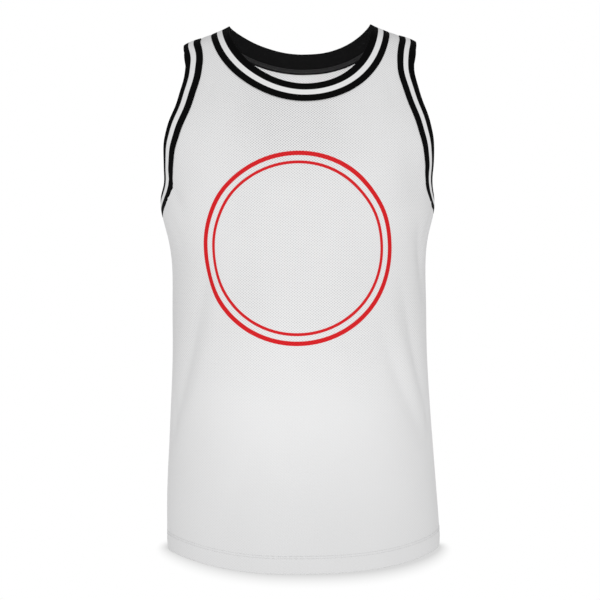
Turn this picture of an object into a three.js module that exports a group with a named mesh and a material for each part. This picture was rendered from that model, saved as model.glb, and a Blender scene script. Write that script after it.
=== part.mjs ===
import * as THREE from 'three';

// A sleeveless basketball jersey in the shape that it has when worn, with no wearer inside.
// Millimetres, +Z up. The front faces -Y and +X is on the viewer's right.
// The origin is the middle of the shoulder line, halfway along the two shoulder seams.

// Cloth thicknesses, and how far apart two pieces lie at a seam
const SEAM_GAP = 0.3;
const PANEL_WALL = 1.5;
const HEM_WALL = 2.7;
const BAND_WALL = 2.8;

// Bands at the neck and armholes, and their seam allowance inside the panels
const NECK_BAND_WIDTH = 26;
const ARMHOLE_BAND_WIDTH = 26;
const SEAM_LAP = 4.5;
const LAP_CLEARANCE = 1.6;
const LAP_WALL = 1.1;

// Neck opening: half its width at the shoulders, its sideways drag, and for the front and back
// its drop, and for the left and right how flat its bottom is and how upright it ends
const NECK_HALF_WIDTH = 97;
const NECK_TOP = 13;
const NECK_DRAG = 6;
const NECK_FRONT = {
  drop: 89.7,
  left: { flatness: 1.83, uprightness: 1.83 },
  right: { flatness: 2.15, uprightness: 2.02 },
};
const NECK_BACK = {
  drop: 31.5,
  left: { flatness: 2, uprightness: 1 },
  right: { flatness: 2.4, uprightness: 1 },
};

// Hem: its height at the side seams, how much lower it hangs at the centre, how late it drops
// from each side towards the centre, and its turn-up
const HEM_HEIGHT = -700;
const HEM_DIP = 25;
const HEM_LATENESS = { left: 3, right: 2 };
const HEM_DEPTH = 22;
const HEM_STEP = 1.5;

// The right shoulder sits a little higher than the left: rise for each millimetre to the right
const LEAN = 0.0157;

// Mesh divisions
const NECK_STEPS = 28;
const ARMHOLE_STEPS = 20;
const SIDE_SEAM_STEPS = 22;
const UNDERARM_SHARE = 0.7;
const RELAX_PASSES = 12;
const RELAX_ROWS = 8;
const MARCH_STEP = 4;
const ON_SEAM = 1e-6;

// Horizontal sections of the general figure that fills the cloth.
// Each is a rounded rectangle: its squareness is 2 for an ellipse and grows with its corners.
const SECTIONS = [
  { height: -760, halfWidth: 186.4, front: 121, back: 113, sway: 5.6, squareness: 2.45 },
  { height: -695, halfWidth: 186.4, front: 121, back: 113, sway: 5, squareness: 2.45 },
  { height: -640, halfWidth: 185, front: 120, back: 111, sway: 3, squareness: 2.45 },
  { height: -571, halfWidth: 181.2, front: 119, back: 109, sway: 1.2, squareness: 2.45 },
  { height: -502, halfWidth: 177, front: 118.5, back: 107, sway: 0.4, squareness: 2.45 },
  { height: -434, halfWidth: 174.2, front: 118.5, back: 106, sway: -0.5, squareness: 2.45 },
  { height: -365, halfWidth: 173.6, front: 119, back: 107, sway: -1, squareness: 2.45 },
  { height: -310, halfWidth: 174, front: 120, back: 109, sway: -1.6, squareness: 2.45 },
  { height: -275, halfWidth: 179.2, front: 120.5, back: 111, sway: -2.2, squareness: 2.45 },
  { height: -245, halfWidth: 186.3, front: 120, back: 112, sway: -2.6, squareness: 2.45 },
  { height: -222, halfWidth: 187.3, front: 119, back: 113, sway: -3.6, squareness: 2.45 },
  { height: -190, halfWidth: 188.6, front: 116.5, back: 114, sway: -2.6, squareness: 2.42 },
  { height: -155, halfWidth: 194.4, front: 111, back: 112, sway: -2.4, squareness: 2.4 },
  { height: -120, halfWidth: 199, front: 102, back: 106, sway: -3.8, squareness: 2.36 },
  { height: -90, halfWidth: 191.6, front: 92, back: 98.5, sway: -3.6, squareness: 2.32 },
  { height: -62, halfWidth: 185.4, front: 80.5, back: 88, sway: -1.6, squareness: 2.28 },
  { height: -38, halfWidth: 181, front: 69.5, back: 77, sway: 0, squareness: 2.24 },
  { height: -22, halfWidth: 171, front: 61.5, back: 68.5, sway: 0, squareness: 2.2 },
  { height: -13, halfWidth: 159.5, front: 56.5, back: 62.5, sway: 0, squareness: 2.2 },
  { height: -5, halfWidth: 139, front: 51, back: 56.5, sway: 0, squareness: 2.2 },
  { height: 2, halfWidth: 118.5, front: 45, back: 50, sway: 0, squareness: 2.2 },
  { height: 8, halfWidth: 104.5, front: 39, back: 43.5, sway: 0, squareness: 2.2 },
  { height: 13, halfWidth: 97, front: 33.5, back: 37, sway: 0, squareness: 2.2 },
  { height: 22, halfWidth: 92, front: 24, back: 27, sway: 0, squareness: 2.2 },
];

// Edge of the armhole opening, from the shoulder tip down to the underarm:
// how far it lies in front of the side seam on the left and on the right, and behind it
const ARMHOLE_TIP = -13;
const ARMHOLE_FOOT = -225;
const ARMHOLE_EDGE = [
  { height: -16, left: 17, right: 17, back: 17 },
  { height: -24, left: 28, right: 28, back: 28 },
  { height: -37, left: 39.5, right: 39, back: 40 },
  { height: -54, left: 47, right: 46.5, back: 49.5 },
  { height: -80, left: 54.5, right: 51, back: 54 },
  { height: -106, left: 60.5, right: 55, back: 57 },
  { height: -132, left: 58, right: 54, back: 56 },
  { height: -158, left: 48, right: 45.5, back: 47 },
  { height: -184, left: 42, right: 37.5, back: 37 },
  { height: -206, left: 41, right: 36, back: 32 },
  { height: -219, left: 25, right: 27, back: 20 },
];

// Largest folds. Bearings are degrees from the centre front, positive to the viewer's right and
// beyond 90 on the back. Each runs from its top to its foot through a middle point.
const FOLDS = [
  { top: [-50, -305], middle: [-63, -438], foot: [-79, -560], width: 19, depth: 4.2 },
  { top: [-71, -203], middle: [-67, -222], foot: [-62, -246], width: 10, depth: 2.6 },
  { top: [66, -262], middle: [71, -305], foot: [76, -372], width: 12, depth: 3 },
  { top: [57, -340], middle: [66, -431], foot: [78, -540], width: 14, depth: 3.6 },
  { top: [46, -395], middle: [56, -471], foot: [70, -556], width: 16, depth: 3.4 },
  { top: [63, -150], middle: [62, -200], foot: [64, -246], width: 15, depth: 2.4 },
  { top: [-38, -640], middle: [-33, -600], foot: [-22, -545], width: 20, depth: 2 },
  { top: [128, -300], middle: [118, -420], foot: [101, -552], width: 17, depth: 3.8 },
  { top: [-135, -330], middle: [-121, -452], foot: [-104, -575], width: 18, depth: 4 },
  { top: [-109, -212], middle: [-115, -255], foot: [-126, -300], width: 14, depth: 3 },
  { top: [110, -205], middle: [117, -240], foot: [124, -285], width: 12, depth: 2.6 },
  { top: [165, -120], middle: [176, -148], foot: [192, -128], width: 20, depth: 2.4 },
];
const FOLD_RADIUS = 150;
const FOLD_PIECES = 8;

/** Natural cubic spline through knots whose places rise. */
function splineThrough(places, values) {
  const last = places.length - 1;
  const bends = new Array(last + 1).fill(0);
  const carry = new Array(last + 1).fill(0);
  for (let i = 1; i < last; i += 1) {
    const before = places[i] - places[i - 1];
    const after = places[i + 1] - places[i];
    const jump = (values[i + 1] - values[i]) / after - (values[i] - values[i - 1]) / before;
    const pivot = 2 * (before + after) - before * carry[i - 1];
    carry[i] = after / pivot;
    bends[i] = (6 * jump - before * bends[i - 1]) / pivot;
  }
  for (let i = last - 1; i > 0; i -= 1) {
    bends[i] -= carry[i] * bends[i + 1];
  }
  return (place) => {
    let i = 0;
    while (i < last - 1 && place > places[i + 1]) {
      i += 1;
    }
    const span = places[i + 1] - places[i];
    const up = place - places[i];
    const down = places[i + 1] - place;
    return (bends[i] * down ** 3 + bends[i + 1] * up ** 3) / (6 * span)
      + (values[i] / span - (bends[i] * span) / 6) * down
      + (values[i + 1] / span - (bends[i + 1] * span) / 6) * up;
  };
}

const SECTION_HEIGHTS = SECTIONS.map((row) => row.height);
const SECTION_CURVES = {};
for (const column of ['halfWidth', 'front', 'back', 'sway', 'squareness']) {
  SECTION_CURVES[column] = splineThrough(SECTION_HEIGHTS, SECTIONS.map((row) => row[column]));
}

/** Half width of the figure's section to one side of a point that is level with it. */
function sideReach(depth, height) {
  const reach = depth < 0 ? SECTION_CURVES.front(height) : SECTION_CURVES.back(height);
  const power = SECTION_CURVES.squareness(height);
  return SECTION_CURVES.halfWidth(height) * (1 - Math.abs(depth / reach) ** power) ** (1 / power);
}

/** Depth of the figure's section in front of (-1) or behind (1) the side seam, at one width. */
function depthReach(across, height, facing) {
  const reach = facing < 0 ? SECTION_CURVES.front(height) : SECTION_CURVES.back(height);
  const power = SECTION_CURVES.squareness(height);
  const share = Math.abs((across - SECTION_CURVES.sway(height)) / SECTION_CURVES.halfWidth(height));
  return facing * reach * Math.max(0, 1 - share ** power) ** (1 / power);
}

/** Below zero inside the figure, zero on its surface and above zero outside. */
function outsideness(point) {
  const reach = point.y < 0 ? SECTION_CURVES.front(point.z) : SECTION_CURVES.back(point.z);
  const power = SECTION_CURVES.squareness(point.z);
  const across = (point.x - SECTION_CURVES.sway(point.z)) / SECTION_CURVES.halfWidth(point.z);
  return Math.abs(across) ** power + Math.abs(point.y / reach) ** power - 1;
}

/** How fast outsideness grows along each axis. */
function steepness(point) {
  const nudge = 0.01;
  const slope = new THREE.Vector3();
  for (const axis of ['x', 'y', 'z']) {
    const ahead = point.clone();
    const behind = point.clone();
    ahead[axis] += nudge;
    behind[axis] -= nudge;
    slope[axis] = (outsideness(ahead) - outsideness(behind)) / (2 * nudge);
  }
  return slope;
}

/** Direction straight out of the figure's surface. */
function outward(point) {
  return steepness(point).normalize();
}

/** The point of the figure's surface that lies nearest, found by Newton steps. */
function settle(point) {
  const result = point.clone();
  for (let pass = 0; pass < 7; pass += 1) {
    const slope = steepness(result);
    result.addScaledVector(slope, -outsideness(result) / slope.lengthSq());
  }
  return result;
}

/** A fold's course as short straight pieces, in millimetres around the figure and up it. */
function foldCourse(fold) {
  const [start, middle, end] = [fold.top, fold.middle, fold.foot].map(([bearing, height]) => (
    new THREE.Vector2(THREE.MathUtils.degToRad(bearing) * FOLD_RADIUS, height)
  ));
  const handle = middle.clone().multiplyScalar(2).sub(start.clone().add(end).multiplyScalar(0.5));
  return new THREE.QuadraticBezierCurve(start, handle, end).getPoints(FOLD_PIECES);
}

const FOLD_COURSES = FOLDS.map((fold) => ({ ...fold, course: foldCourse(fold) }));
const TURN = 2 * Math.PI * FOLD_RADIUS;

/** How deep one fold is at a place: deepest along its middle, fading sideways and at its ends. */
function foldDepth(fold, place) {
  let nearest = Infinity;
  let along = 0;
  for (let i = 0; i < FOLD_PIECES; i += 1) {
    const from = fold.course[i];
    const piece = fold.course[i + 1].clone().sub(from);
    const offset = place.clone().sub(from);
    const share = THREE.MathUtils.clamp(offset.dot(piece) / piece.lengthSq(), 0, 1);
    const distance = offset.addScaledVector(piece, -share).length();
    if (distance < nearest) {
      nearest = distance;
      along = (i + share) / FOLD_PIECES;
    }
  }
  const taper = Math.sin(Math.PI * (0.12 + 0.76 * along)) ** 1.5;
  return fold.depth * taper * Math.exp(-((nearest / fold.width) ** 2));
}

/** How far the folds draw the cloth in at a point of the figure's surface. */
function foldsAt(point) {
  const around = Math.atan2(point.x, -point.y) * FOLD_RADIUS;
  let depth = 0;
  for (const fold of FOLD_COURSES) {
    for (const turn of [-TURN, 0, TURN]) {
      const place = new THREE.Vector2(around + turn, point.z);
      depth += foldDepth(fold, place);
    }
  }
  return depth;
}

/** Moves a surface point out by an offset, after the folds, and leans it with the garment. */
function clothPoint(point, offset) {
  const result = point.clone().addScaledVector(outward(point), offset - foldsAt(point));
  result.z += LEAN * result.x;
  return result;
}

/** Points at even distances along a curve that is given as many close points. */
function evenPoints(closePoints, steps) {
  const run = new THREE.CurvePath();
  for (let i = 1; i < closePoints.length; i += 1) {
    run.add(new THREE.LineCurve3(closePoints[i - 1], closePoints[i]));
  }
  return run.getSpacedPoints(steps);
}

/** Half of the neck opening's edge, front (-1) or back (1), from the left shoulder to the right. */
function neckEdge(facing, steps) {
  const { drop, left, right } = facing < 0 ? NECK_FRONT : NECK_BACK;
  const samples = 240;
  const points = [];
  for (let i = 0; i <= samples; i += 1) {
    const across = -Math.cos((Math.PI * i) / samples);
    const { flatness, uprightness } = across < 0 ? left : right;
    const low = (1 - Math.abs(across) ** flatness) ** (1 / uprightness);
    const x = NECK_HALF_WIDTH * across + NECK_DRAG * (1 - across * across);
    const z = NECK_TOP - drop * low;
    const atShoulder = i === 0 || i === samples;
    points.push(new THREE.Vector3(x, atShoulder ? 0 : depthReach(x, z, facing), z));
  }
  return evenPoints(points, steps);
}

/** Half of an armhole opening's edge, front (-1) or back (1), from underarm to shoulder tip. */
function armholeEdge(side, facing, steps) {
  const front = side < 0 ? 'left' : 'right';
  const column = facing < 0 ? front : 'back';
  const other = facing < 0 ? 'back' : front;
  const loop = [new THREE.Vector3(0, 0, ARMHOLE_FOOT)];
  for (const row of [...ARMHOLE_EDGE].reverse()) {
    loop.push(new THREE.Vector3(0, facing * row[column], row.height));
  }
  loop.push(new THREE.Vector3(0, 0, ARMHOLE_TIP));
  const halfCount = loop.length - 1;
  for (const row of ARMHOLE_EDGE) {
    loop.push(new THREE.Vector3(0, -facing * row[other], row.height));
  }
  const curve = new THREE.CatmullRomCurve3(loop, true, 'centripetal');
  const samples = 240;
  const points = [];
  for (let i = 0; i <= samples; i += 1) {
    const point = curve.getPoint((i / samples) * (halfCount / loop.length));
    point.x = side * sideReach(point.y, point.z) + SECTION_CURVES.sway(point.z);
    points.push(point);
  }
  return evenPoints(points, steps);
}

/** Joins the front and back halves of an opening's edge into one loop. */
function closedEdge(front, back) {
  return [...front, ...back.slice(1, -1).reverse()];
}

/**
 * Paths over the surface, straight away from an opening's edge.
 * Each path starts at one point of the edge and answers with its point at any distance.
 */
function pathsFrom(edge, holeCentre, reach) {
  const count = edge.length;
  return edge.map((start, i) => {
    const atSeam = Math.abs(start.y) < ON_SEAM;
    const along = edge[(i + 1) % count].clone().sub(edge[(i + count - 1) % count]);
    let heading = along.cross(outward(start)).normalize();
    if (heading.dot(start.clone().sub(holeCentre)) < 0) {
      heading.negate();
    }
    const stops = [settle(start)];
    const steps = Math.ceil(reach / MARCH_STEP);
    for (let k = 0; k < steps; k += 1) {
      const here = stops[k];
      const normal = outward(here);
      heading = heading.addScaledVector(normal, -heading.dot(normal));
      if (atSeam) {
        heading.y = 0;
      }
      heading.normalize();
      stops.push(settle(here.clone().addScaledVector(heading, reach / steps)));
    }
    return (distance) => {
      const place = THREE.MathUtils.clamp((distance / reach) * steps, 0, steps - 1e-9);
      const k = Math.floor(place);
      return settle(stops[k].clone().lerp(stops[k + 1], place - k));
    };
  });
}

/** A geometry from points and triangles, turned the right way out. */
function solidFrom(points, triangles) {
  const positions = points.flatMap((point) => [point.x, point.y, point.z]);
  let volume = 0;
  for (const [a, b, c] of triangles) {
    volume += points[a].dot(points[b].clone().cross(points[c]));
  }
  const turned = volume < 0 ? triangles.map(([a, b, c]) => [a, c, b]) : triangles;
  const geometry = new THREE.BufferGeometry();
  geometry.setAttribute('position', new THREE.Float32BufferAttribute(positions, 3));
  geometry.setIndex(turned.flat());
  geometry.computeVertexNormals();
  return geometry;
}

/** Evens out a sheet above the underarm, so that its cells fan out round the shoulder seams. */
function relax(sheet, firstRow) {
  let current = sheet;
  for (let pass = 0; pass < RELAX_PASSES; pass += 1) {
    current = current.map((row, j) => row.map((point, i) => {
      const onEdge = i === 0 || i === row.length - 1 || j === sheet.length - 1;
      if (j <= firstRow || onEdge) {
        return point;
      }
      const mean = current[j - 1][i].clone().add(current[j + 1][i]).add(row[i - 1]).add(row[i + 1]);
      const pull = Math.min(1, (j - firstRow) / RELAX_ROWS);
      return settle(point.clone().lerp(mean.multiplyScalar(0.25), pull));
    }));
  }
  return current;
}

/** Adds two triangles to a four-sided face, across its shorter diagonal. */
function addFace(points, triangles, a, b, c, d) {
  if (points[a].distanceTo(points[c]) <= points[b].distanceTo(points[d])) {
    triangles.push([a, b, c], [a, c, d]);
  } else {
    triangles.push([a, b, d], [b, c, d]);
  }
}

/**
 * Section of a band: distance from the opening's edge and height above the cloth's outer face.
 * The rib is folded at the opening, and its seam allowance laps inside the panel.
 */
function bandProfile(width) {
  const lapFace = -(PANEL_WALL + LAP_CLEARANCE);
  return [
    { distance: 0, rise: -BAND_WALL / 2 },
    { distance: 0.9, rise: -0.1 },
    { distance: width / 3, rise: 0.25 },
    { distance: (2 * width) / 3, rise: 0.25 },
    { distance: width, rise: 0 },
    { distance: width, rise: lapFace },
    { distance: width + SEAM_LAP, rise: lapFace },
    { distance: width + SEAM_LAP, rise: lapFace - LAP_WALL },
    { distance: (2 * width) / 3, rise: -BAND_WALL },
    { distance: 0.9, rise: -BAND_WALL + 0.1 },
  ];
}

/** A closed ring of cloth: the band's section carried along all its paths. */
function bandSolid(paths, width) {
  const profile = bandProfile(width);
  const points = [];
  for (const path of paths) {
    for (const { distance, rise } of profile) {
      points.push(clothPoint(path(distance), rise));
    }
  }
  const triangles = [];
  const ring = profile.length;
  for (let i = 0; i < paths.length; i += 1) {
    for (let k = 0; k < ring; k += 1) {
      const here = i * ring + k;
      const up = i * ring + ((k + 1) % ring);
      const next = ((i + 1) % paths.length) * ring + k;
      const corner = ((i + 1) % paths.length) * ring + ((k + 1) % ring);
      addFace(points, triangles, here, next, corner, up);
    }
  }
  return solidFrom(points, triangles);
}

/** Height of the hem's edge at a place across, from the share of the section's depth there. */
function hemLine(across, depthShare) {
  const lateness = across < 0 ? HEM_LATENESS.left : HEM_LATENESS.right;
  return HEM_HEIGHT - HEM_DIP * Math.abs(depthShare) ** lateness;
}

/** Edge of the hem on the front (-1) or back (1), from the left side seam to the right. */
function hemEdge(facing, steps) {
  const samples = 240;
  const points = [];
  for (let i = 0; i <= samples; i += 1) {
    const share = -Math.cos((Math.PI * i) / samples);
    let height = HEM_HEIGHT;
    let point = null;
    for (let pass = 0; pass < 4; pass += 1) {
      const x = SECTION_CURVES.sway(height) + share * SECTION_CURVES.halfWidth(height);
      point = new THREE.Vector3(x, depthReach(x, height, facing), height);
      const reach = facing < 0 ? SECTION_CURVES.front(height) : SECTION_CURVES.back(height);
      height = hemLine(share, point.y / reach);
    }
    points.push(point);
  }
  return evenPoints(points, steps);
}

/** Side seam from the hem up to the underarm band: the turn-up's rows, then even ones. */
function sideSeam(side, top) {
  const heights = [HEM_HEIGHT, HEM_HEIGHT + HEM_DEPTH - HEM_STEP, HEM_HEIGHT + HEM_DEPTH];
  const start = HEM_HEIGHT + HEM_DEPTH;
  for (let k = 1; k < SIDE_SEAM_STEPS; k += 1) {
    heights.push(start + ((top.z - start) * k) / SIDE_SEAM_STEPS);
  }
  return heights.map((height) => new THREE.Vector3(
    side * SECTION_CURVES.halfWidth(height) + SECTION_CURVES.sway(height),
    0,
    height,
  ));
}

/** How far along a run of points each one lies, from 0 to 1. */
function shares(points) {
  const lengths = [0];
  for (let i = 1; i < points.length; i += 1) {
    lengths.push(lengths[i - 1] + points[i].distanceTo(points[i - 1]));
  }
  return lengths.map((length) => length / lengths[lengths.length - 1]);
}

/** How far up the centre of a panel each row lies, from 0 at the hem to 1 at the neck band. */
function centreShares(rows, centreLength) {
  const hem = [0, (HEM_DEPTH - HEM_STEP) / centreLength, HEM_DEPTH / centreLength];
  const result = [];
  for (let j = 0; j <= rows; j += 1) {
    const aboveHem = j - 2;
    if (j < hem.length) {
      result.push(hem[j]);
    } else if (aboveHem <= SIDE_SEAM_STEPS) {
      result.push(hem[2] + ((UNDERARM_SHARE - hem[2]) * aboveHem) / SIDE_SEAM_STEPS);
    } else {
      const above = (aboveHem - SIDE_SEAM_STEPS) / (rows - 2 - SIDE_SEAM_STEPS);
      result.push(UNDERARM_SHARE + (1 - UNDERARM_SHARE) * above);
    }
  }
  return result;
}

/** A sheet of points between four edges, each a blend of them brought back to the figure. */
function sheetBetween(bottom, top, left, right) {
  const bottomShares = shares(bottom);
  const topShares = shares(top);
  const leftShares = shares(left);
  const rightShares = shares(right);
  const middle = Math.floor(bottom.length / 2);
  const centre = centreShares(left.length - 1, top[middle].distanceTo(bottom[middle]));
  const columns = bottom.length - 1;
  const rows = left.length - 1;
  const sheet = [];
  for (let j = 0; j <= rows; j += 1) {
    const row = [];
    for (let i = 0; i <= columns; i += 1) {
      const flat = Math.abs((2 * i) / columns - 1);
      const edgeShare = i * 2 < columns ? leftShares[j] : rightShares[j];
      const v = edgeShare * flat + centre[j] * (1 - flat);
      const u = bottomShares[i] * (1 - v) + topShares[i] * v;
      const point = new THREE.Vector3();
      point.addScaledVector(left[j], 1 - u).addScaledVector(right[j], u);
      point.addScaledVector(bottom[i], 1 - v).addScaledVector(top[i], v);
      point.addScaledVector(bottom[0], -(1 - u) * (1 - v)).addScaledVector(bottom[columns], -u * (1 - v));
      point.addScaledVector(top[0], -(1 - u) * v).addScaledVector(top[columns], -u * v);
      const onEdge = i === 0 || j === 0 || i === columns || j === rows;
      row.push(onEdge ? point : settle(point));
    }
    sheet.push(row);
  }
  return sheet;
}

/** A wall of cloth on a sheet of points, thicker where the hem is turned up inside. */
function panelSolid(sheet, facing) {
  const rows = sheet.length - 1;
  const columns = sheet[0].length - 1;
  const points = [];
  for (const inside of [false, true]) {
    for (let j = 0; j <= rows; j += 1) {
      const wall = j < 2 ? HEM_WALL : PANEL_WALL;
      for (let i = 0; i <= columns; i += 1) {
        const point = clothPoint(sheet[j][i], inside ? -wall : 0);
        const seamSide = (facing * SEAM_GAP) / 2;
        point.y = facing < 0 ? Math.min(point.y, seamSide) : Math.max(point.y, seamSide);
        points.push(point);
      }
    }
  }
  const width = columns + 1;
  const half = width * (rows + 1);
  const triangles = [];
  for (let j = 0; j < rows; j += 1) {
    for (let i = 0; i < columns; i += 1) {
      const a = j * width + i;
      const corners = [a, a + 1, a + 1 + width, a + width];
      addFace(points, triangles, ...corners);
      addFace(points, triangles, ...corners.map((corner) => corner + half).reverse());
    }
  }
  const rim = [];
  for (let i = 0; i < columns; i += 1) rim.push(i);
  for (let j = 0; j < rows; j += 1) rim.push(j * width + columns);
  for (let i = columns; i > 0; i -= 1) rim.push(rows * width + i);
  for (let j = rows; j > 0; j -= 1) rim.push(j * width);
  rim.forEach((here, k) => {
    const next = rim[(k + 1) % rim.length];
    addFace(points, triangles, next, here, here + half, next + half);
  });
  return solidFrom(points, triangles);
}

// Edges of the three openings, and the paths that lead away from them over the figure
const neckCentre = new THREE.Vector3(0, 0, 40);
const neckFront = neckEdge(-1, NECK_STEPS);
const neckBack = neckEdge(1, NECK_STEPS);
const neckPaths = pathsFrom(closedEdge(neckFront, neckBack), neckCentre, NECK_BAND_WIDTH + SEAM_LAP);

const armholes = {};
for (const side of [-1, 1]) {
  const centre = new THREE.Vector3(side * 190, 0, (ARMHOLE_TIP + ARMHOLE_FOOT) / 2);
  const front = armholeEdge(side, -1, ARMHOLE_STEPS);
  const back = armholeEdge(side, 1, ARMHOLE_STEPS);
  const paths = pathsFrom(closedEdge(front, back), centre, ARMHOLE_BAND_WIDTH + SEAM_LAP);
  armholes[side] = { centre, paths };
}

/** The line that a panel is cut to beside a band: the band's outer edge, moved off by a gap. */
function seamLine(paths, width, holeCentre) {
  const edge = paths.map((path) => path(width));
  const count = edge.length;
  return edge.map((point, i) => {
    const along = edge[(i + 1) % count].clone().sub(edge[(i + count - 1) % count]);
    const away = along.cross(outward(point));
    if (away.dot(point.clone().sub(holeCentre)) < 0) {
      away.negate();
    }
    if (Math.abs(point.y) < ON_SEAM) {
      away.y = 0;
    }
    return settle(point.clone().addScaledVector(away.normalize(), SEAM_GAP));
  });
}

/** One half of a closed loop's points, in the order of its front half. */
function halfOf(loop, facing, frontSteps) {
  const front = loop.slice(0, frontSteps + 1);
  const back = [...loop.slice(frontSteps), loop[0]].reverse();
  return facing < 0 ? front : back;
}

/** Sheet of the front (-1) or back (1) panel between its hem, seams and bands. */
function panelSheet(facing) {
  const neckSeam = halfOf(seamLine(neckPaths, NECK_BAND_WIDTH, neckCentre), facing, NECK_STEPS);
  const edges = {};
  for (const side of [-1, 1]) {
    const line = seamLine(armholes[side].paths, ARMHOLE_BAND_WIDTH, armholes[side].centre);
    const band = halfOf(line, facing, ARMHOLE_STEPS);
    edges[side] = [...sideSeam(side, band[0]), ...band];
  }
  const rows = edges[1].length - 1;
  const top = [edges[-1][rows], ...neckSeam, edges[1][rows]];
  const bottom = hemEdge(facing, top.length - 1);
  const sheet = sheetBetween(bottom, top, edges[-1], edges[1]);
  return relax(sheet, SIDE_SEAM_STEPS - 2);
}

/** A named mesh with its own cloth finish. */
function piece(name, geometry, color, roughness) {
  const material = new THREE.MeshStandardMaterial({ color, roughness, metalness: 0 });
  const mesh = new THREE.Mesh(geometry, material);
  mesh.name = name;
  return mesh;
}

const MESH_WHITE = 0xe4e4e4;
const RIB_BLACK = 0x111111;

const jersey = new THREE.Group();
jersey.add(piece('front_panel', panelSolid(panelSheet(-1), -1), MESH_WHITE, 0.75));
jersey.add(piece('back_panel', panelSolid(panelSheet(1), 1), MESH_WHITE, 0.75));
jersey.add(piece('neck_band', bandSolid(neckPaths, NECK_BAND_WIDTH), RIB_BLACK, 0.8));
jersey.add(piece('armhole_band_left', bandSolid(armholes[-1].paths, ARMHOLE_BAND_WIDTH), RIB_BLACK, 0.8));
jersey.add(piece('armhole_band_right', bandSolid(armholes[1].paths, ARMHOLE_BAND_WIDTH), RIB_BLACK, 0.8));

export default jersey;
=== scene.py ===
"""A white basketball jersey with striped rib bands, filled out as if worn, with no wearer.

Every piece is a surface worked out with numpy on the same general figure that the solids follow.
Sizes are in millimetres until a mesh is made, which is in metres.
"""
import logging
import math
from dataclasses import dataclass
from enum import Enum

import bpy
import numpy as np
from mathutils import Matrix, Vector


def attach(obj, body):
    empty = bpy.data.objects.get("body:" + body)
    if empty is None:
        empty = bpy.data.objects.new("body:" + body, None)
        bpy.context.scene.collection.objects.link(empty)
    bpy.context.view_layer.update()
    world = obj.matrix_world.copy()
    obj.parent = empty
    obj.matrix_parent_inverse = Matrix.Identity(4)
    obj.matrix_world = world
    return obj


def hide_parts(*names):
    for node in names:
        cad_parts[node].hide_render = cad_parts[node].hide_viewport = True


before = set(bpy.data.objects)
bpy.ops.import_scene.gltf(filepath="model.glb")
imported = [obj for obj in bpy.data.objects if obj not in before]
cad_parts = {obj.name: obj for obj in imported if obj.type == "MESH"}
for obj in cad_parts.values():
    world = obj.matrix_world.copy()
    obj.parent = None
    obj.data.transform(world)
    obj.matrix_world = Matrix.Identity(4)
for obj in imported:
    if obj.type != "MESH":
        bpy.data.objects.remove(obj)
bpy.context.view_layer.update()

LOG = logging.getLogger("jersey")
MM = 0.001
BODY = "root"

# The garment leans a little: rise for each millimetre to the viewer's right
LEAN = 0.0157
SEAM_GAP = 0.3
ON_SEAM = 1e-6


class Facing(Enum):
    """Which half of the garment a sheet or an edge belongs to."""

    FRONT = -1
    BACK = 1


class Side(Enum):
    """Which side of the garment, for someone who looks at its front."""

    LEFT = -1
    RIGHT = 1


@dataclass(frozen=True)
class Section:
    """One horizontal section of the figure: a rounded rectangle at a height."""

    height: float
    half_width: float
    front: float
    back: float
    sway: float
    squareness: float


SECTIONS = (
    Section(-760, 186.4, 121, 113, 5.6, 2.45),
    Section(-695, 186.4, 121, 113, 5, 2.45),
    Section(-640, 185, 120, 111, 3, 2.45),
    Section(-571, 181.2, 119, 109, 1.2, 2.45),
    Section(-502, 177, 118.5, 107, 0.4, 2.45),
    Section(-434, 174.2, 118.5, 106, -0.5, 2.45),
    Section(-365, 173.6, 119, 107, -1, 2.45),
    Section(-310, 174, 120, 109, -1.6, 2.45),
    Section(-275, 179.2, 120.5, 111, -2.2, 2.45),
    Section(-245, 186.3, 120, 112, -2.6, 2.45),
    Section(-222, 187.3, 119, 113, -3.6, 2.45),
    Section(-190, 188.6, 116.5, 114, -2.6, 2.42),
    Section(-155, 194.4, 111, 112, -2.4, 2.4),
    Section(-120, 199, 102, 106, -3.8, 2.36),
    Section(-90, 191.6, 92, 98.5, -3.6, 2.32),
    Section(-62, 185.4, 80.5, 88, -1.6, 2.28),
    Section(-38, 181, 69.5, 77, 0, 2.24),
    Section(-22, 171, 61.5, 68.5, 0, 2.2),
    Section(-13, 159.5, 56.5, 62.5, 0, 2.2),
    Section(-5, 139, 51, 56.5, 0, 2.2),
    Section(2, 118.5, 45, 50, 0, 2.2),
    Section(8, 104.5, 39, 43.5, 0, 2.2),
    Section(13, 97, 33.5, 37, 0, 2.2),
    Section(22, 92, 24, 27, 0, 2.2),
)


class Spline:
    """Natural cubic spline through knots, for whole arrays of places."""

    def __init__(self, places: np.ndarray, values: np.ndarray) -> None:
        """Solve for the bends at the knots.

        Args:
            places: knots in rising order.
            values: the value at each knot.
        """
        self.places, self.values = places, values
        span = np.diff(places)
        count = len(places)
        matrix = np.eye(count)
        jump = np.zeros(count)
        for i in range(1, count - 1):
            matrix[i, i - 1:i + 2] = span[i - 1], 2 * (span[i - 1] + span[i]), span[i]
            jump[i] = 6 * ((values[i + 1] - values[i]) / span[i] - (values[i] - values[i - 1]) / span[i - 1])
        self.bends = np.linalg.solve(matrix, jump)

    def __call__(self, place: np.ndarray) -> np.ndarray:
        """The spline's value at each place."""
        i = np.clip(np.searchsorted(self.places, place) - 1, 0, len(self.places) - 2)
        span = self.places[i + 1] - self.places[i]
        up, down = place - self.places[i], self.places[i + 1] - place
        return ((self.bends[i] * down ** 3 + self.bends[i + 1] * up ** 3) / (6 * span)
                + (self.values[i] / span - self.bends[i] * span / 6) * down
                + (self.values[i + 1] / span - self.bends[i + 1] * span / 6) * up)


def unit(vectors: np.ndarray) -> np.ndarray:
    """Vectors scaled to length one."""
    return vectors / np.maximum(np.linalg.norm(vectors, axis=-1, keepdims=True), 1e-12)


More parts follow.
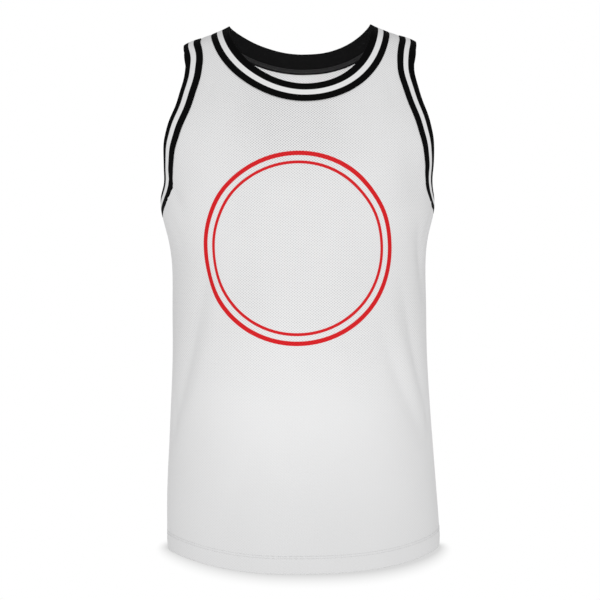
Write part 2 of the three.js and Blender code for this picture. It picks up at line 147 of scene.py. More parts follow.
def smooth_step(low: float, high: float, value: np.ndarray) -> np.ndarray:
    """Rise from 0 at low to 1 at high, level at both ends."""
    share = np.clip((value - low) / (high - low), 0, 1)
    return share * share * (3 - 2 * share)


class Figure:
    """The general figure that fills the cloth, as a stack of rounded rectangles.

    A point lies on it where |across / half width| ** n + |depth / reach| ** n is one.
    """

    def __init__(self) -> None:
        """Fit one spline over height to each column of the sections."""
        heights = np.array([row.height for row in SECTIONS], float)
        for column in ("half_width", "front", "back", "sway", "squareness"):
            values = np.array([getattr(row, column) for row in SECTIONS], float)
            setattr(self, column, Spline(heights, values))

    def reach(self, depth: np.ndarray, height: np.ndarray) -> np.ndarray:
        """Depth of the section on the side of the seam where a point lies."""
        return np.where(depth < 0, self.front(height), self.back(height))

    def side_reach(self, depth: np.ndarray, height: np.ndarray) -> np.ndarray:
        """Half width of the section level with a point."""
        power = self.squareness(height)
        share = np.abs(depth / self.reach(depth, height)) ** power
        return self.half_width(height) * np.maximum(0, 1 - share) ** (1 / power)

    def depth_reach(self, across: np.ndarray, height: np.ndarray, facing: Facing) -> np.ndarray:
        """Depth of the section at one width, signed to its front or back."""
        power = self.squareness(height)
        share = np.abs((across - self.sway(height)) / self.half_width(height)) ** power
        reach = self.front(height) if facing is Facing.FRONT else self.back(height)
        return facing.value * reach * np.maximum(0, 1 - share) ** (1 / power)

    def outsideness(self, points: np.ndarray) -> np.ndarray:
        """Below zero inside the figure, zero on it and above zero outside."""
        height = points[..., 2]
        power = self.squareness(height)
        across = np.abs((points[..., 0] - self.sway(height)) / self.half_width(height))
        depth = np.abs(points[..., 1] / self.reach(points[..., 1], height))
        return across ** power + depth ** power - 1

    def steepness(self, points: np.ndarray) -> np.ndarray:
        """How fast outsideness grows along each axis, by central differences."""
        nudge = 0.01
        steps = np.eye(3) * nudge
        return np.stack([
            (self.outsideness(points + step) - self.outsideness(points - step)) / (2 * nudge)
            for step in steps
        ], axis=-1)

    def outward(self, points: np.ndarray) -> np.ndarray:
        """Direction straight out of the surface."""
        return unit(self.steepness(points))

    def settle(self, points: np.ndarray, passes: int = 6) -> np.ndarray:
        """Nearest points of the surface, found by Newton steps."""
        result = points.copy()
        for _ in range(passes):
            slope = self.steepness(result)
            size = np.maximum((slope ** 2).sum(-1, keepdims=True), 1e-12)
            result = result - slope * self.outsideness(result)[..., None] / size
        return result


FIGURE = Figure()


@dataclass(frozen=True)
class Fold:
    """A soft trough in the cloth, or a ridge where its depth is below zero.

    Its course runs from its top through a middle point to its foot. Each of them is a bearing in
    degrees from the centre front, beyond 90 on the back, and a height.
    """

    top: tuple[float, float]
    middle: tuple[float, float]
    foot: tuple[float, float]
    width: float
    depth: float

    def course(self, radius: float, pieces: int) -> np.ndarray:
        """Points of a quadratic curve through the three places, in millimetres round and up."""
        start, middle, end = (
            np.array([math.radians(bearing) * radius, height])
            for bearing, height in (self.top, self.middle, self.foot)
        )
        handle = 2 * middle - (start + end) / 2
        share = np.linspace(0, 1, pieces + 1)[:, None]
        return (1 - share) ** 2 * start + 2 * share * (1 - share) * handle + share ** 2 * end


# The folds that the solids have too
MAIN_FOLDS = (
    Fold((-50, -305), (-63, -438), (-79, -560), 19, 4.2),
    Fold((-71, -203), (-67, -222), (-62, -246), 10, 2.6),
    Fold((66, -262), (71, -305), (76, -372), 12, 3),
    Fold((57, -340), (66, -431), (78, -540), 14, 3.6),
    Fold((46, -395), (56, -471), (70, -556), 16, 3.4),
    Fold((63, -150), (62, -200), (64, -246), 15, 2.4),
    Fold((-38, -640), (-33, -600), (-22, -545), 20, 2),
    Fold((128, -300), (118, -420), (101, -552), 17, 3.8),
    Fold((-135, -330), (-121, -452), (-104, -575), 18, 4),
    Fold((-109, -212), (-115, -255), (-126, -300), 14, 3),
    Fold((110, -205), (117, -240), (124, -285), 12, 2.6),
    Fold((165, -120), (176, -148), (192, -128), 20, 2.4),
)

# Finer creases, which the solids are too coarse for
FINE_FOLDS = (
    Fold((-72, -198), (-67, -219), (-61, -250), 3.4, 1.3),
    Fold((-76, -232), (-70, -262), (-66, -300), 5, 0.9),
    Fold((79, -236), (76, -262), (73, -310), 4.5, 1.2),
    Fold((70, -176), (67, -200), (66, -222), 5, 0.8),
    Fold((-60, -66), (-58, -84), (-55, -104), 5, 0.7),
    Fold((61, -58), (59, -80), (57, -108), 6, 0.8),
    Fold((-24, -112), (-22, -134), (-19, -160), 6, 0.55),
    Fold((27, -112), (26, -132), (24, -156), 6, 0.5),
    Fold((-44, -96), (-42, -116), (-38, -142), 6, 0.6),
    Fold((45, -92), (44, -114), (42, -140), 7, 0.6),
    Fold((-79, -470), (-76, -510), (-72, -560), 6, 1),
    Fold((78, -480), (76, -530), (72, -590), 7, 1.1),
    Fold((-82, -640), (-78, -668), (-71, -690), 6, 0.9),
    Fold((83, -630), (80, -660), (74, -688), 6, 0.9),
    Fold((-51, -300), (-63, -438), (-78, -560), 6.5, 1.2),
    Fold((-42, -290), (-54, -425), (-69, -540), 13, -1.3),
    Fold((66, -258), (71, -305), (76, -372), 5, 1.1),
    Fold((57, -336), (66, -431), (78, -540), 6, 1.3),
    Fold((46, -392), (56, -471), (70, -556), 7, 1.2),
    Fold((51, -360), (61, -450), (73, -545), 7, -0.8),
    Fold((20, -600), (30, -625), (41, -640), 12, 0.8),
    Fold((-12, -560), (-4, -600), (2, -650), 16, 0.7),
    Fold((100, -236), (103, -262), (107, -300), 5, 1.2),
    Fold((-101, -240), (-104, -268), (-110, -306), 5, 1.1),
    Fold((150, -70), (148, -92), (146, -118), 6, 0.7),
    Fold((-149, -66), (-147, -90), (-144, -116), 6, 0.7),
    Fold((172, -56), (170, -74), (168, -96), 6, 0.6),
    Fold((-170, -56), (-169, -76), (-166, -98), 6, 0.6),
    Fold((150, -590), (158, -630), (166, -668), 14, 1.1),
    Fold((-158, -560), (-163, -600), (-168, -650), 15, 1),
)


@dataclass(frozen=True)
class Hem:
    """The turned-up hem: its line, its depth and the ripples that its stitching leaves."""

    height: float = -700
    dip: float = 25
    lateness: tuple[float, float] = (3, 2)
    depth: float = 22
    ripple_pitch: float = 9.5
    ripple: float = 0.22
    groove: float = 0.16
    corner_tuck: float = 4.2
    corner_reach: float = 15
    scallop: float = 0.55
    small_scallop: float = 0.3
    scallop_pitch: tuple[float, float] = (17, 7.1)

    def line(self, across: np.ndarray, depth_share: np.ndarray) -> np.ndarray:
        """Height of the hem's edge at a place across, from the share of the depth there."""
        lateness = np.where(across < 0, *self.lateness)
        return self.height - self.dip * np.abs(depth_share) ** lateness


HEM = Hem()


class Cloth:
    """Turns places on the figure into cloth: folds, hem ripples and the garment's lean."""

    fold_radius = 150
    fold_pieces = 10

    def __init__(self, folds: tuple[Fold, ...]) -> None:
        """Work out the course of each fold."""
        self.folds = [(fold, fold.course(self.fold_radius, self.fold_pieces)) for fold in folds]

    def fold_depth(self, points: np.ndarray) -> np.ndarray:
        """How far the folds draw the cloth in.

        Each fold is depth * taper * exp(-(distance / width) ** 2), where distance is from the
        nearest place of its course and taper fades to both ends.
        """
        around = np.arctan2(points[..., 0], -points[..., 1]) * self.fold_radius
        turn = 2 * math.pi * self.fold_radius
        total = np.zeros(points.shape[:-1])
        for fold, course in self.folds:
            middle = course[self.fold_pieces // 2, 0]
            level = around - turn * np.round((around - middle) / turn)
            place = np.stack([level, points[..., 2]], axis=-1)
            nearest = np.full(total.shape, np.inf)
            along = np.zeros(total.shape)
            for k in range(self.fold_pieces):
                piece = course[k + 1] - course[k]
                offset = place - course[k]
                share = np.clip((offset @ piece) / (piece @ piece), 0, 1)
                distance = np.linalg.norm(offset - share[..., None] * piece, axis=-1)
                closer = distance < nearest
                nearest = np.where(closer, distance, nearest)
                along = np.where(closer, (k + share) / self.fold_pieces, along)
            taper = np.sin(np.pi * (0.12 + 0.76 * along)) ** 1.5
            total += fold.depth * taper * np.exp(-(nearest / fold.width) ** 2)
        return total

    def hem_relief(self, points: np.ndarray) -> np.ndarray:
        """Groove along the hem's stitches, uneven ripples below it and a tuck at each side seam."""
        depth = np.abs(points[..., 1]) / FIGURE.reach(points[..., 1], points[..., 2])
        above = points[..., 2] - HEM.line(points[..., 0] - FIGURE.sway(points[..., 2]), depth)
        around = np.arctan2(points[..., 0], -points[..., 1]) * self.fold_radius
        groove = -HEM.groove * np.exp(-((above - HEM.depth) / 1.6) ** 2)
        low = np.clip(1 - above / HEM.corner_reach, 0, 1) ** 2
        tuck = -HEM.corner_tuck * np.exp(-(points[..., 1] / HEM.corner_reach) ** 2) * low
        wave = np.sin(2 * np.pi * around / HEM.ripple_pitch + 1.7 * np.sin(around / 31))
        wave += 0.6 * np.sin(2 * np.pi * around / (HEM.ripple_pitch * 2.3) + np.sin(around / 17))
        near = np.exp(-((above - HEM.depth) / 7) ** 2) + 0.7 * np.exp(-(above / 6) ** 2)
        roll = 0.35 * smooth_step(0, HEM.depth * 0.5, above) * smooth_step(HEM.depth, HEM.depth * 0.5, above)
        return groove + tuck + HEM.ripple * wave * near + roll

    def relief(self, points: np.ndarray) -> np.ndarray:
        """Low swells that no cloth is without, as sums of long sine waves."""
        around = np.arctan2(points[..., 0], -points[..., 1]) * self.fold_radius
        height = points[..., 2]
        swell = np.sin(around / 23 + 1.3 * np.sin(height / 61)) * np.sin(height / 47 + 0.8)
        swell += 0.7 * np.sin(around / 13 + height / 39 + 2 * np.sin(height / 83))
        return 0.16 * swell

    def place(self, points: np.ndarray, offset: np.ndarray | float) -> np.ndarray:
        """Cloth point of each place on the figure, moved out by an offset.

        Args:
            points: places on the figure.
            offset: how far outside the cloth's outer face, in millimetres.

        Returns:
            Points in millimetres, leaning with the garment.
        """
        rise = offset - self.fold_depth(points) + self.hem_relief(points) + self.relief(points)
        result = points + FIGURE.outward(points) * np.asarray(rise)[..., None]
        result[..., 2] += LEAN * result[..., 0]
        return result


CLOTH = Cloth(MAIN_FOLDS + FINE_FOLDS)


def even_points(run: np.ndarray, steps: int) -> np.ndarray:
    """Points at even distances along a run of close points."""
    length = np.concatenate([[0], np.cumsum(np.linalg.norm(np.diff(run, axis=0), axis=1))])
    wanted = np.linspace(0, length[-1], steps + 1)
    return np.stack([np.interp(wanted, length, run[:, k]) for k in range(3)], axis=1)


def catmull_rom(points: np.ndarray, samples: int, last: int) -> np.ndarray:
    """Centripetal curve through a closed loop of points, from the first to a numbered one.

    Args:
        points: the loop.
        samples: how many points to give for each span.
        last: the loop's point where the curve ends.

    Returns:
        Points along the curve, both ends among them.
    """
    count = len(points)
    result = []
    for i in range(last):
        p0, p1, p2, p3 = (points[(i + k) % count] for k in (-1, 0, 1, 2))
        t0 = 0.0
        t1 = t0 + np.linalg.norm(p1 - p0) ** 0.5
        t2 = t1 + np.linalg.norm(p2 - p1) ** 0.5
        t3 = t2 + np.linalg.norm(p3 - p2) ** 0.5
        t = np.linspace(t1, t2, samples, endpoint=False)[:, None]
        a1 = (t1 - t) / (t1 - t0) * p0 + (t - t0) / (t1 - t0) * p1
        a2 = (t2 - t) / (t2 - t1) * p1 + (t - t1) / (t2 - t1) * p2
        a3 = (t3 - t) / (t3 - t2) * p2 + (t - t2) / (t3 - t2) * p3
        b1 = (t2 - t) / (t2 - t0) * a1 + (t - t0) / (t2 - t0) * a2
        b2 = (t3 - t) / (t3 - t1) * a2 + (t - t1) / (t3 - t1) * a3
        result.append((t2 - t) / (t2 - t1) * b1 + (t - t1) / (t2 - t1) * b2)
    result.append(points[last % count][None])
    return np.concatenate(result)


class Opening:
    """An opening in the garment: its edge, and paths that lead away from it over the figure."""

    march = 1.5

    def __init__(self, front: np.ndarray, back: np.ndarray, centre: np.ndarray, reach: float) -> None:
        """Join the halves of the edge and march away from it.

        Each path starts square to the edge and keeps straight on over the figure.

        Args:
            front: front half of the edge, whose ends lie on the side or shoulder seam.
            back: back half, in the same order.
            centre: a point inside the hole, which the paths lead away from.
            reach: how far the paths go.
        """
        self.centre, self.reach = centre, reach
        self.half = len(front) - 1
        edge = np.concatenate([front, back[1:-1][::-1]])
        seam = np.abs(edge[:, 1]) < ON_SEAM
        heading = self.away(edge, seam)
        self.steps = math.ceil(reach / self.march)
        stops = [FIGURE.settle(edge)]
        for _ in range(self.steps):
            normal = FIGURE.outward(stops[-1])
            heading = heading - (heading * normal).sum(-1, keepdims=True) * normal
            heading[seam, 1] = 0
            heading = unit(heading)
            stops.append(FIGURE.settle(stops[-1] + heading * reach / self.steps, 3))
        self.stops = np.stack(stops)

    def away(self, edge: np.ndarray, seam: np.ndarray) -> np.ndarray:
        """Direction over the figure, square to a closed edge and away from the hole."""
        along = np.roll(edge, -1, axis=0) - np.roll(edge, 1, axis=0)
        heading = unit(np.cross(along, FIGURE.outward(edge)))
        heading[((edge - self.centre) * heading).sum(-1) < 0] *= -1
        heading[seam, 1] = 0
        return unit(heading)

    def at(self, distance: float) -> np.ndarray:
        """The closed loop of points at one distance from the edge."""
        place = min(max(distance / self.reach * self.steps, 0), self.steps - 1e-9)
        k = int(place)
        return FIGURE.settle(self.stops[k] * (k + 1 - place) + self.stops[k + 1] * (place - k), 2)

    def cut_line(self, width: float, facing: Facing) -> np.ndarray:
        """Half of the line that a panel is cut to beside this opening's band."""
        edge = self.at(width)
        seam = np.abs(edge[:, 1]) < ON_SEAM
        line = FIGURE.settle(edge + self.away(edge, seam) * SEAM_GAP)
        if facing is Facing.FRONT:
            return line[:self.half + 1]
        return np.concatenate([line[self.half:], line[:1]])[::-1]


@dataclass(frozen=True)
class NeckHalf:
    """Front or back of the neck opening: its drop, and for the left and the right how flat its
    bottom is and how upright it ends at the shoulder."""

    drop: float
    flatness: tuple[float, float]
    uprightness: tuple[float, float]


@dataclass(frozen=True)
class NeckCut:
    """The neck opening: half its width, its top, its sideways drag, its halves and its band."""

    half_width: float = 97
    top: float = 13
    drag: float = 6
    front: NeckHalf = NeckHalf(89.7, (1.83, 2.15), (1.83, 2.02))
    back: NeckHalf = NeckHalf(31.5, (2, 2.4), (1, 1))
    band: float = 26

    def edge(self, facing: Facing, steps: int) -> np.ndarray:
        """Half of the edge, from the left shoulder to the right.

        With a share s of the half width from -1 to 1, it lies at half width * s across and
        drop * (1 - |s| ** flatness) ** (1 / uprightness) below its top, on the figure.
        """
        cut = self.front if facing is Facing.FRONT else self.back
        share = -np.cos(np.linspace(0, np.pi, 721))
        flatness, uprightness = (np.where(share < 0, *pair) for pair in (cut.flatness, cut.uprightness))
        low = np.maximum(0, 1 - np.abs(share) ** flatness) ** (1 / uprightness)
        x = self.half_width * share + self.drag * (1 - share ** 2)
        z = self.top - cut.drop * low
        y = FIGURE.depth_reach(x, z, facing)
        y[[0, -1]] = 0
        points = even_points(np.stack([x, y, z], axis=1), steps)
        points[[0, -1], 1] = 0
        return points


@dataclass(frozen=True)
class ArmholeRow:
    """How far the armhole's edge lies in front of the side seam at a height, on the left and on
    the right, and how far behind it."""

    height: float
    front: tuple[float, float]
    back: float


@dataclass(frozen=True)
class ArmholeCut:
    """The armhole opening: its ends on the seams and its edge between them."""

    tip: float = -13
    foot: float = -225
    band: float = 26
    rows: tuple[ArmholeRow, ...] = (
        ArmholeRow(-16, (17, 17), 17),
        ArmholeRow(-24, (28, 28), 28),
        ArmholeRow(-37, (39.5, 39), 40),
        ArmholeRow(-54, (47, 46.5), 49.5),
        ArmholeRow(-80, (54.5, 51), 54),
        ArmholeRow(-106, (60.5, 55), 57),
        ArmholeRow(-132, (58, 54), 56),
        ArmholeRow(-158, (48, 45.5), 47),
        ArmholeRow(-184, (42, 37.5), 37),
        ArmholeRow(-206, (41, 36), 32),
        ArmholeRow(-219, (25, 27), 20),
    )

    def edge(self, side: Side, facing: Facing, steps: int) -> np.ndarray:
        """Half of the edge, from the underarm to the shoulder tip."""
        front = [(0, -row.front[side is Side.RIGHT], row.height) for row in self.rows]
        back = [(0, row.back, row.height) for row in self.rows]
        near, far = (front, back) if facing is Facing.FRONT else (back, front)
        loop = np.array([(0, 0, self.foot), *near[::-1], (0, 0, self.tip), *far], float)
        points = catmull_rom(loop, 24, len(near) + 1)
        reach = FIGURE.side_reach(points[:, 1], points[:, 2])
        points[:, 0] = side.value * reach + FIGURE.sway(points[:, 2])
        result = even_points(points, steps)
        result[[0, -1], 1] = 0
        return result


NECK = NeckCut()
ARMHOLE = ArmholeCut()
SEAM_LAP = 4.5


@dataclass(frozen=True)
class Detail:
    """How finely the surfaces are divided."""

    neck: int = 124
    armhole: int = 66
    side_seam: int = 108
    hem: int = 11
    shoulder: int = 6
    underarm_share: float = 0.7
    relax_passes: int = 160
    relax_rows: int = 30


DETAIL = Detail()


def make_mesh(name: str, points: np.ndarray, faces: np.ndarray, uv: np.ndarray | None = None,
              shade_smooth: bool = True) -> bpy.types.Object:
    """A mesh object at the origin from points in millimetres.

    Args:
        name: the piece's name.
        points: one row of x, y, z for each point.
        faces: one row of three or four point numbers for each face.
        uv: one row of two cloth coordinates for each point, in metres.
        shade_smooth: whether the faces are shaded as one surface.

    Returns:
        The new object.
    """
    mesh = bpy.data.meshes.new(name)
    corners = faces.shape[1]
    mesh.vertices.add(len(points))
    mesh.vertices.foreach_set("co", (points * MM).astype(np.float32).ravel())
    mesh.loops.add(faces.size)
    mesh.loops.foreach_set("vertex_index", faces.astype(np.int32).ravel())
    mesh.polygons.add(len(faces))
    mesh.polygons.foreach_set("loop_start", np.arange(0, faces.size, corners, dtype=np.int32))
    mesh.update(calc_edges=True)
    mesh.polygons.foreach_set("use_smooth", np.full(len(faces), shade_smooth))
    if uv is not None:
        layer = mesh.uv_layers.new(name="cloth")
        layer.data.foreach_set("uv", uv[faces.ravel()].astype(np.float32).ravel())
    mesh.validate()
    piece = bpy.data.objects.new(name, mesh)
    bpy.context.scene.collection.objects.link(piece)
    return piece


def facing_out(points: np.ndarray, faces: np.ndarray) -> np.ndarray:
    """Faces of a closed mesh, all turned over if its volume comes out below zero."""
    a, b, c = (points[faces[:, k]] for k in (0, 1, 2))
    volume = (a * np.cross(b, c)).sum()
    if faces.shape[1] == 4:
        d = points[faces[:, 3]]
        volume += (a * np.cross(c, d)).sum()
    return faces if volume > 0 else faces[:, ::-1]


def grid_faces(rows: int, columns: int, wrap_rows: bool = False, wrap_columns: bool = False) -> np.ndarray:
    """Four-sided faces of a grid of points that is numbered row by row."""
    row = np.arange(rows if wrap_rows else rows - 1)
    column = np.arange(columns if wrap_columns else columns - 1)
    j, i = np.meshgrid(row, column, indexing="ij")
    up, right = (j + 1) % rows, (i + 1) % columns
    corners = (j * columns + i, j * columns + right, up * columns + right, up * columns + i)
    return np.stack([corner.ravel() for corner in corners], axis=1)


class Socket:
    """A shader socket that takes part in Python expressions."""

    def __init__(self, shader: "Shader", link: bpy.types.NodeSocket) -> None:
        """Wrap one output socket of a shader's tree."""
        self.shader, self.link = shader, link

    def _math(self, operation: str, first: object, second: object) -> "Socket":
        """One Math node."""
        node = self.shader.node("ShaderNodeMath", {"operation": operation}, {0: first, 1: second})
        return Socket(self.shader, node.outputs[0])

    def __add__(self, other: object) -> "Socket":
        """Sum."""
        return self._math("ADD", self, other)

    __radd__ = __add__

    def __sub__(self, other: object) -> "Socket":
        """Difference."""
        return self._math("SUBTRACT", self, other)

    def __rsub__(self, other: object) -> "Socket":
        """Difference from a plain number."""
        return self._math("SUBTRACT", other, self)

    def __mul__(self, other: object) -> "Socket":
        """Product."""
        return self._math("MULTIPLY", self, other)

    __rmul__ = __mul__

    def __truediv__(self, other: object) -> "Socket":
        """Quotient."""
        return self._math("DIVIDE", self, other)

    def cos(self) -> "Socket":
        """Cosine of an angle in radians."""
        return self._math("COSINE", self, 0.0)

    def sin(self) -> "Socket":
        """Sine of an angle in radians."""
        return self._math("SINE", self, 0.0)

    def absolute(self) -> "Socket":
        """Size without sign."""
        return self._math("ABSOLUTE", self, 0.0)

    def rise(self, low: float, high: float) -> "Socket":
        """Smooth step from 0 at low to 1 at high."""
        settings = {"interpolation_type": "SMOOTHSTEP"}
        inputs = {"Value": self, "From Min": low, "From Max": high}
        node = self.shader.node("ShaderNodeMapRange", settings, inputs)
        return Socket(self.shader, node.outputs["Result"])

    def between(self, low: float, high: float, edge: float) -> "Socket":
        """One between two values and zero outside, over a soft edge."""
        return self.rise(low - edge, low + edge) * (1 - self.rise(high - edge, high + edge))


Colour = tuple[float, float, float]


class Shader:
    """One material's node tree, with a Principled BSDF at its end."""

    def __init__(self, name: str, constants: dict[str, float]) -> None:
        """Start a material.

        Args:
            name: the material's name.
            constants: values of the Principled BSDF that are the same all over.
        """
        self.material = bpy.data.materials.new(name)
        self.material.use_nodes = True
        self.tree = self.material.node_tree
        self.tree.nodes.clear()
        self.bsdf = self.node("ShaderNodeBsdfPrincipled", {}, dict(constants))
        self.node("ShaderNodeOutputMaterial", {}, {"Surface": self.bsdf.outputs[0]})

    def node(self, kind: str, settings: dict[str, object], inputs: dict[object, object]) -> bpy.types.Node:
        """Any node: its settings first, then the values or links of its sockets."""
        node = self.tree.nodes.new(kind)
        for name, value in settings.items():
            setattr(node, name, value)
        for key, value in inputs.items():
            if isinstance(value, Socket):
                value = value.link
            if isinstance(value, bpy.types.NodeSocket):
                self.tree.links.new(value, node.inputs[key])
            else:
                node.inputs[key].default_value = value
        return node

    def cloth_uv(self) -> tuple[Socket, Socket]:
        """The piece's two cloth coordinates, in millimetres."""
        uv = self.node("ShaderNodeUVMap", {"uv_map": "cloth"}, {})
        split = self.node("ShaderNodeSeparateXYZ", {}, {0: uv.outputs[0]})
        return Socket(self, split.outputs[0]) * 1000.0, Socket(self, split.outputs[1]) * 1000.0

    def noise(self, scale: float, detail: float = 2.0) -> Socket:
        """Noise over the object's own coordinates, scale in cells for each metre."""
        place = self.node("ShaderNodeTexCoord", {}, {}).outputs["Object"]
        inputs = {"Vector": place, "Scale": scale, "Detail": detail}
        return Socket(self, self.node("ShaderNodeTexNoise", {}, inputs).outputs[0])

    def mix(self, factor: Socket, first: object, second: object) -> bpy.types.NodeSocket:
        """Mix of two colours, each a colour or a link."""
        inputs = {"Factor": factor, 6: self.colour(first), 7: self.colour(second)}
        return self.node("ShaderNodeMix", {"data_type": "RGBA"}, inputs).outputs[2]

    @staticmethod
    def colour(value: object) -> object:
        """A colour as a socket takes it, with its alpha."""
        return (*value, 1.0) if isinstance(value, tuple) else value

    def bump(self, height: Socket, strength: float, distance: float) -> None:
        """Feed a height through a Bump node into the surface's normal."""
        inputs = {"Height": height, "Strength": strength, "Distance": distance}
        bump = self.node("ShaderNodeBump", {}, inputs)
        self.tree.links.new(bump.outputs[0], self.bsdf.inputs["Normal"])

    def base(self, colour: object) -> None:
        """Feed or set the base colour."""
        if isinstance(colour, tuple):
            self.bsdf.inputs["Base Color"].default_value = self.colour(colour)
        else:
            self.tree.links.new(colour, self.bsdf.inputs["Base Color"])

    def rough(self, value: Socket) -> None:
        """Feed the roughness."""
        self.tree.links.new(value.link, self.bsdf.inputs["Roughness"])


@dataclass(frozen=True)
class Rings:
    """The chest print: two closed rings, one thick and one thin, round one centre."""

    centre: tuple[float, float] = (-1.5, -297.0)
    thick: tuple[float, float] = (122.5, 128.5)
    thin: tuple[float, float] = (111.5, 115.5)
    colour: Colour = (0.66, 0.004, 0.008)


@dataclass(frozen=True)
class MeshKnit:
    """White polyester mesh: staggered eyelets, open over the chest and nearly shut below it."""

    thread: Colour = (0.83, 0.83, 0.833)
    # The eyelets' grey is painted shade: the garment's shaded inside seen through the holes
    eyelet_shade: Colour = (0.30, 0.30, 0.31)
    pitch: tuple[float, float] = (4.2, 3.4)
    rings: Rings | None = None

    def material(self, name: str) -> bpy.types.Material:
        """Build the finish.

        The eyelets lie where cos(2 pi u / pitch) * cos(2 pi v / pitch) is near one, which puts
        them in rows, each row half a step across from the next.
        """
        constants = {"Specular IOR Level": 0.12, "Sheen Weight": 0.04, "Sheen Roughness": 0.5}
        shader = Shader(name, constants)
        across, up = shader.cloth_uv()
        lattice = (across * (2 * math.pi / self.pitch[0])).cos() * (up * (2 * math.pi / self.pitch[1])).cos()
        cloud = shader.noise(9.0, 3.0)
        fine = shader.noise(900.0, 2.0)
        off_centre = across.absolute()
        drawn = 0.26 + up.rise(-520, -390) * 0.7 + up.rise(-240, -130) * (1 - off_centre.rise(30, 90)) * 0.5
        drawn = drawn * (1 - 0.3 * off_centre.rise(60, 120))
        hole = lattice.rise(-0.1, 0.9) * drawn * (cloud * 0.5 + 0.75)
        column = (across * (4 * math.pi / self.pitch[0])).cos() * 0.5 + 0.5
        white = shader.mix(cloud.rise(0.3, 0.7), self.thread, tuple(c * 0.985 for c in self.thread))
        # Painted shade in the eyelets, standing for the dark inside seen through them
        colour = shader.mix(hole * (fine * 0.4 + 0.3), white, self.eyelet_shade)
        if self.rings:
            colour = self.printed(shader, across, up, colour, hole)
        shader.base(colour)
        shader.rough(0.66 + 0.12 * cloud + 0.08 * hole)
        shader.bump(column * 0.18 - hole + fine * 0.25, 0.4, 0.0005)
        return shader.material

    def printed(self, shader: Shader, across: Socket, up: Socket, colour: object, hole: Socket) -> object:
        """The cloth's colour with the rings on it, a little broken by the eyelets."""
        x = across - self.rings.centre[0]
        y = up - self.rings.centre[1]
        inputs = {0: x * x + y * y, 1: 0.5}
        radius = Socket(shader, shader.node("ShaderNodeMath", {"operation": "POWER"}, inputs).outputs[0])
        ink = radius.between(*self.rings.thick, 0.35) + radius.between(*self.rings.thin, 0.35)
        return shader.mix(ink * (1 - 0.06 * hole), colour, self.rings.colour)


@dataclass(frozen=True)
class StripedRib:
    """Rib knit folded at the opening: black with one white stripe along its outer face."""

    width: float
    stripe: tuple[float, float]
    black: Colour = (0.0022, 0.0022, 0.0023)
    white: Colour = (0.86, 0.86, 0.863)
    inside: Colour = (0.0062, 0.0062, 0.0064)
    rib: float = 1.15

    def material(self, name: str) -> bpy.types.Material:
        """Build the finish: the stripe follows the distance from the fold, the ribs cross it."""
        shader = Shader(name, {"Specular IOR Level": 0.04})
        along, down = shader.cloth_uv()
        rib = (along * (2 * math.pi / self.rib)).cos() * 0.5 + 0.5
        course = (down * (2 * math.pi / 0.9)).cos() * 0.5 + 0.5
        fuzz = shader.noise(700.0, 2.0)
        white = down.between(*self.stripe, 0.25)
        inner = down.rise(self.width + 1.0, self.width + 3.0)
        black = shader.mix(inner, self.black, self.inside)
        # The black's rib ridges are lightened, broken up by fuzz noise: painted highlight
        black = shader.mix(rib * fuzz * 0.25, black, self.inside)
        # The white stripe is darker in the rib grooves: painted shade
        pale = shader.mix((1 - rib) * 0.35, self.white, tuple(c * 0.93 for c in self.white))
        shader.base(shader.mix(white, black, pale))
        shader.rough(0.74 + 0.16 * fuzz)
        shader.bump(rib * 0.8 + course * 0.25 + fuzz * 0.3, 0.45, 0.0004)
        return shader.material


@dataclass(frozen=True)
class Thread:
    """Spun polyester thread with its twist."""

    colour: Colour
    twist: float = 1500.0

    def material(self, name: str) -> bpy.types.Material:
        """Build the finish."""
        shader = Shader(name, {"Specular IOR Level": 0.2})
        twist = shader.noise(self.twist, 3.0)
        shader.base(shader.mix(twist, self.colour, tuple(c * 0.6 for c in self.colour)))
        shader.rough(0.5 + 0.3 * twist)
        shader.bump(twist, 0.4, 0.0002)
        return shader.material


def hand_over(piece: bpy.types.Object, material: bpy.types.Material,
              node: str | None = None) -> None:
    """Dress a piece, tie it to the garment's body and hide the solid it stands for, where one is given."""
    piece.data.materials.append(material)
    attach(piece, BODY)
    if node:
        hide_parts(node)
    faces = len(piece.data.polygons)
    low, high = np.array(piece.bound_box).min(0), np.array(piece.bound_box).max(0)
    LOG.info("%s: %d faces, %s to %s", piece.name, faces, low.round(3), high.round(3))


